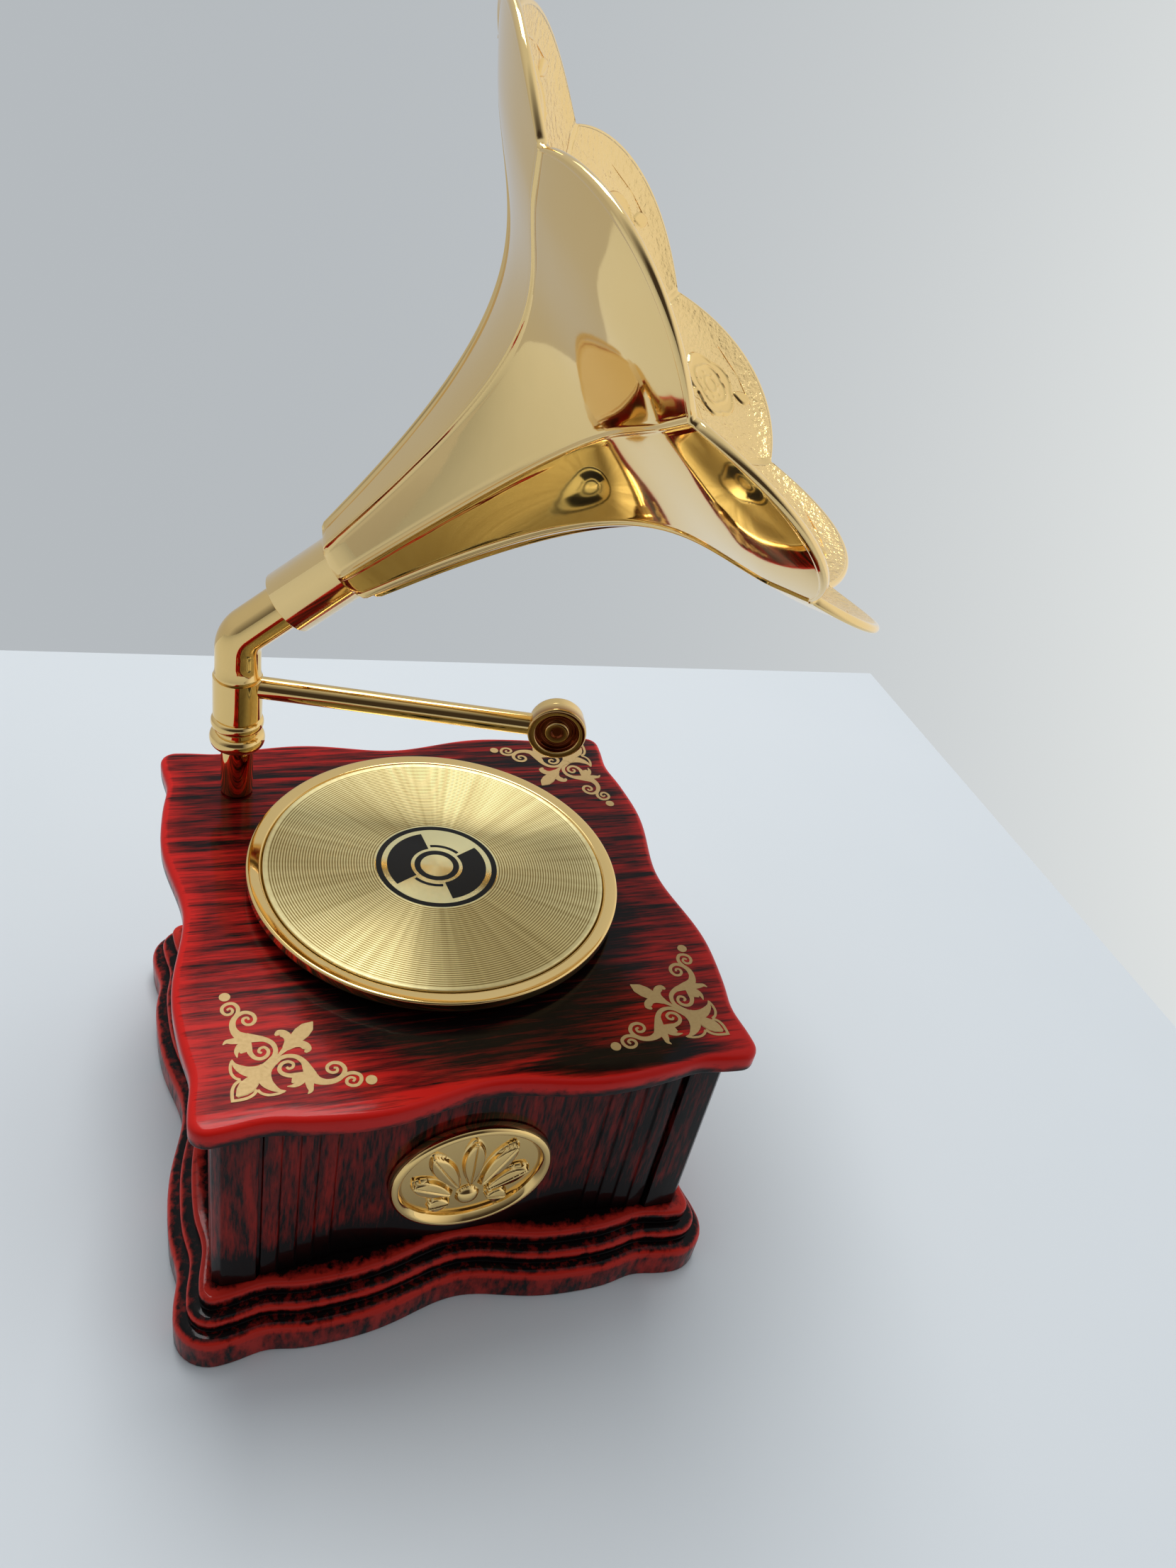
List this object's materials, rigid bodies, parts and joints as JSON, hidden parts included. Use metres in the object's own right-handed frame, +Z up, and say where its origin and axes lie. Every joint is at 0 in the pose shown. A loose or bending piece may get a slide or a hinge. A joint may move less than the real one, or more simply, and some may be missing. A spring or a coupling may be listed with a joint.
{
  "type": "music box",
  "caption": "Free-standing music box shaped like a gramophone: tiered square case with movement, turntable wound and driven from inside, swivelling tone arm and flower horn.",
  "frame": {"origin": "middle of the base, on the surface that it stands on", "axes": "+Z up, -Y towards the front with the medallion, +X to the right"},
  "size_m": [0.1345, 0.1272, 0.2199],
  "materials": {
    "lacquer": "red lacquer with black brushed streaks, glossy",
    "gold": "vacuum plated gold, mirror bright",
    "gold_foil": "gold plated, finely grooved",
    "steel": "plain steel",
    "brass": "turned brass",
    "cast_zinc": "die-cast zinc, as cast",
    "black_plastic": "moulded black",
    "white_plastic": "moulded acetal"
  },
  "bodies": {
    "case": {"plinth": "lacquer", "bottom_cover": "black_plastic", "cover_screw_1": "steel", "cover_screw_2": "steel", "cover_screw_3": "steel", "cover_screw_4": "steel", "case_walls": "lacquer", "lid": "lacquer", "medallion": "gold", "post": "gold", "post_screw": "steel", "tie_screw_1": "steel", "tie_screw_2": "steel", "tie_screw_3": "steel", "tie_screw_4": "steel", "bedplate": "cast_zinc", "bedplate_screw_1": "steel", "bedplate_screw_2": "steel", "bedplate_screw_3": "steel", "spring_housing": "steel", "mainspring": "steel", "cylinder_bracket": "steel", "comb": "steel", "comb_base": "cast_zinc", "comb_screw_1": "steel", "comb_screw_2": "steel", "governor_bracket": "steel"},
    "turntable": {"platter": "gold", "record_disc": "gold_foil", "platter_hub": "white_plastic", "winding_arbor": "steel", "crown_gear": "brass"},
    "cylinder": {"pinned_cylinder": "brass", "cylinder_arbor": "steel"},
    "governor": {"governor_wheel": "brass"},
    "air_brake": {"fan_worm": "white_plastic"},
    "elbow": {"elbow_pipe": "gold", "tone_arm_rod": "gold", "sound_box_back": "gold", "sound_box_front": "gold"},
    "horn": {"horn": "gold"}
  },
  "joints": [
    {"name": "turntable_turn", "type": "hinge", "parent": "case", "child": "turntable", "pos_m": [0, 0.0028, 0.0665], "axis": [0, 0, 1], "continuous": true},
    {"name": "cylinder_turn", "type": "hinge", "parent": "case", "child": "cylinder", "pos_m": [0, 0.0028, 0.0474], "axis": [1, 0, 0], "continuous": true},
    {"name": "governor_turn", "type": "hinge", "parent": "case", "child": "governor", "pos_m": [0, -0.0101, 0.0474], "axis": [1, 0, 0], "continuous": true},
    {"name": "air_brake_turn", "type": "hinge", "parent": "case", "child": "air_brake", "pos_m": [0.028, -0.0168, 0.0474], "axis": [0, 0, 1], "continuous": true},
    {"name": "elbow_swivel", "type": "hinge", "parent": "case", "child": "elbow", "pos_m": [-0.036, 0.0363, 0.0665], "axis": [0, 0, 1], "continuous": true},
    {"name": "horn_turn", "type": "hinge", "parent": "elbow", "child": "horn", "pos_m": [-0.036, 0.0363, 0.1047], "axis": [0.6936, -0.2041, 0.6909], "continuous": true}
  ],
  "couplings": [
    {"joint": "cylinder_turn", "follows": "turntable_turn", "ratio": -3},
    {"joint": "governor_turn", "follows": "turntable_turn", "ratio": 9},
    {"joint": "air_brake_turn", "follows": "turntable_turn", "ratio": 180}
  ]
}
